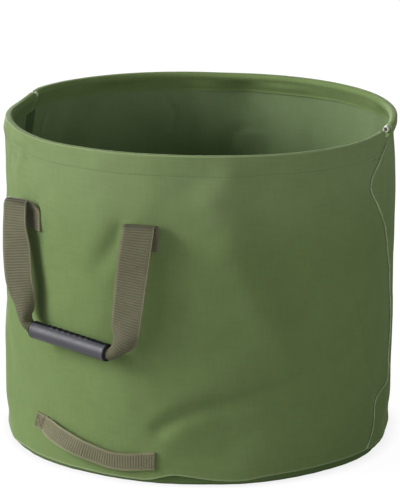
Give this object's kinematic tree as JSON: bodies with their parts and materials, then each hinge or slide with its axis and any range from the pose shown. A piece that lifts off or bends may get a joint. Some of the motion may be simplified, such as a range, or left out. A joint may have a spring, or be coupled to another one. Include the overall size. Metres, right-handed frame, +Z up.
{
  "type": "garden waste bag",
  "caption": "Round open-topped canvas garden waste bag with a hoop in its rim, tubular-grip carry handles at front and back, and a low tip strap.",
  "frame": {"origin": "middle of the base, on the ground", "axes": "+Z up through the open mouth, -Y towards the front carry handle and the tip strap, +X to the right of that handle"},
  "size_m": [0.5498, 0.6014, 0.46],
  "materials": {
    "canvas": "coated plain-weave canvas, matt",
    "tape": "woven binding tape, matt",
    "webbing": "ribbed polypropylene webbing",
    "thread": "polyester sewing thread",
    "grip": "moulded, satin",
    "hoop": "extruded tube, smooth"
  },
  "bodies": {
    "bag": {"front_panel": "canvas", "back_panel": "canvas", "base_panel": "canvas", "base_binding": "tape", "left_seam_tape": "tape", "right_seam_tape": "tape", "rim_hoop": "hoop", "front_left_tab": "webbing", "front_right_tab": "webbing", "front_left_stitching": "thread", "front_right_stitching": "thread", "back_left_tab": "webbing", "back_right_tab": "webbing", "back_left_stitching": "thread", "back_right_stitching": "thread", "tip_strap_left_end": "webbing", "tip_strap_right_end": "webbing", "tip_strap_left_stitching": "thread", "tip_strap_right_stitching": "thread"},
    "front_handle": {"front_left_loop": "webbing", "front_right_loop": "webbing", "front_webbing": "webbing", "front_grip_outer": "grip", "front_grip_inner": "grip"},
    "back_handle": {"back_left_loop": "webbing", "back_right_loop": "webbing", "back_webbing": "webbing", "back_grip_outer": "grip", "back_grip_inner": "grip"},
    "tip_strap": {"tip_strap": "webbing"}
  },
  "joints": [
    {"name": "front_handle_swing", "type": "hinge", "parent": "bag", "child": "front_handle", "pos_m": [0, -0.27316, 0.3685], "axis": [-1, 0, 0], "range_deg": [0, 165], "deforming": ["front_left_loop", "front_right_loop"]},
    {"name": "back_handle_swing", "type": "hinge", "parent": "bag", "child": "back_handle", "pos_m": [0, 0.27316, 0.3685], "axis": [1, 0, 0], "range_deg": [0, 165], "deforming": ["back_left_loop", "back_right_loop"]},
    {"name": "tip_strap_pull", "type": "slide", "parent": "bag", "child": "tip_strap", "axis": [0.0436, -0.999, 0], "range_m": [0, 0.02]}
  ]
}
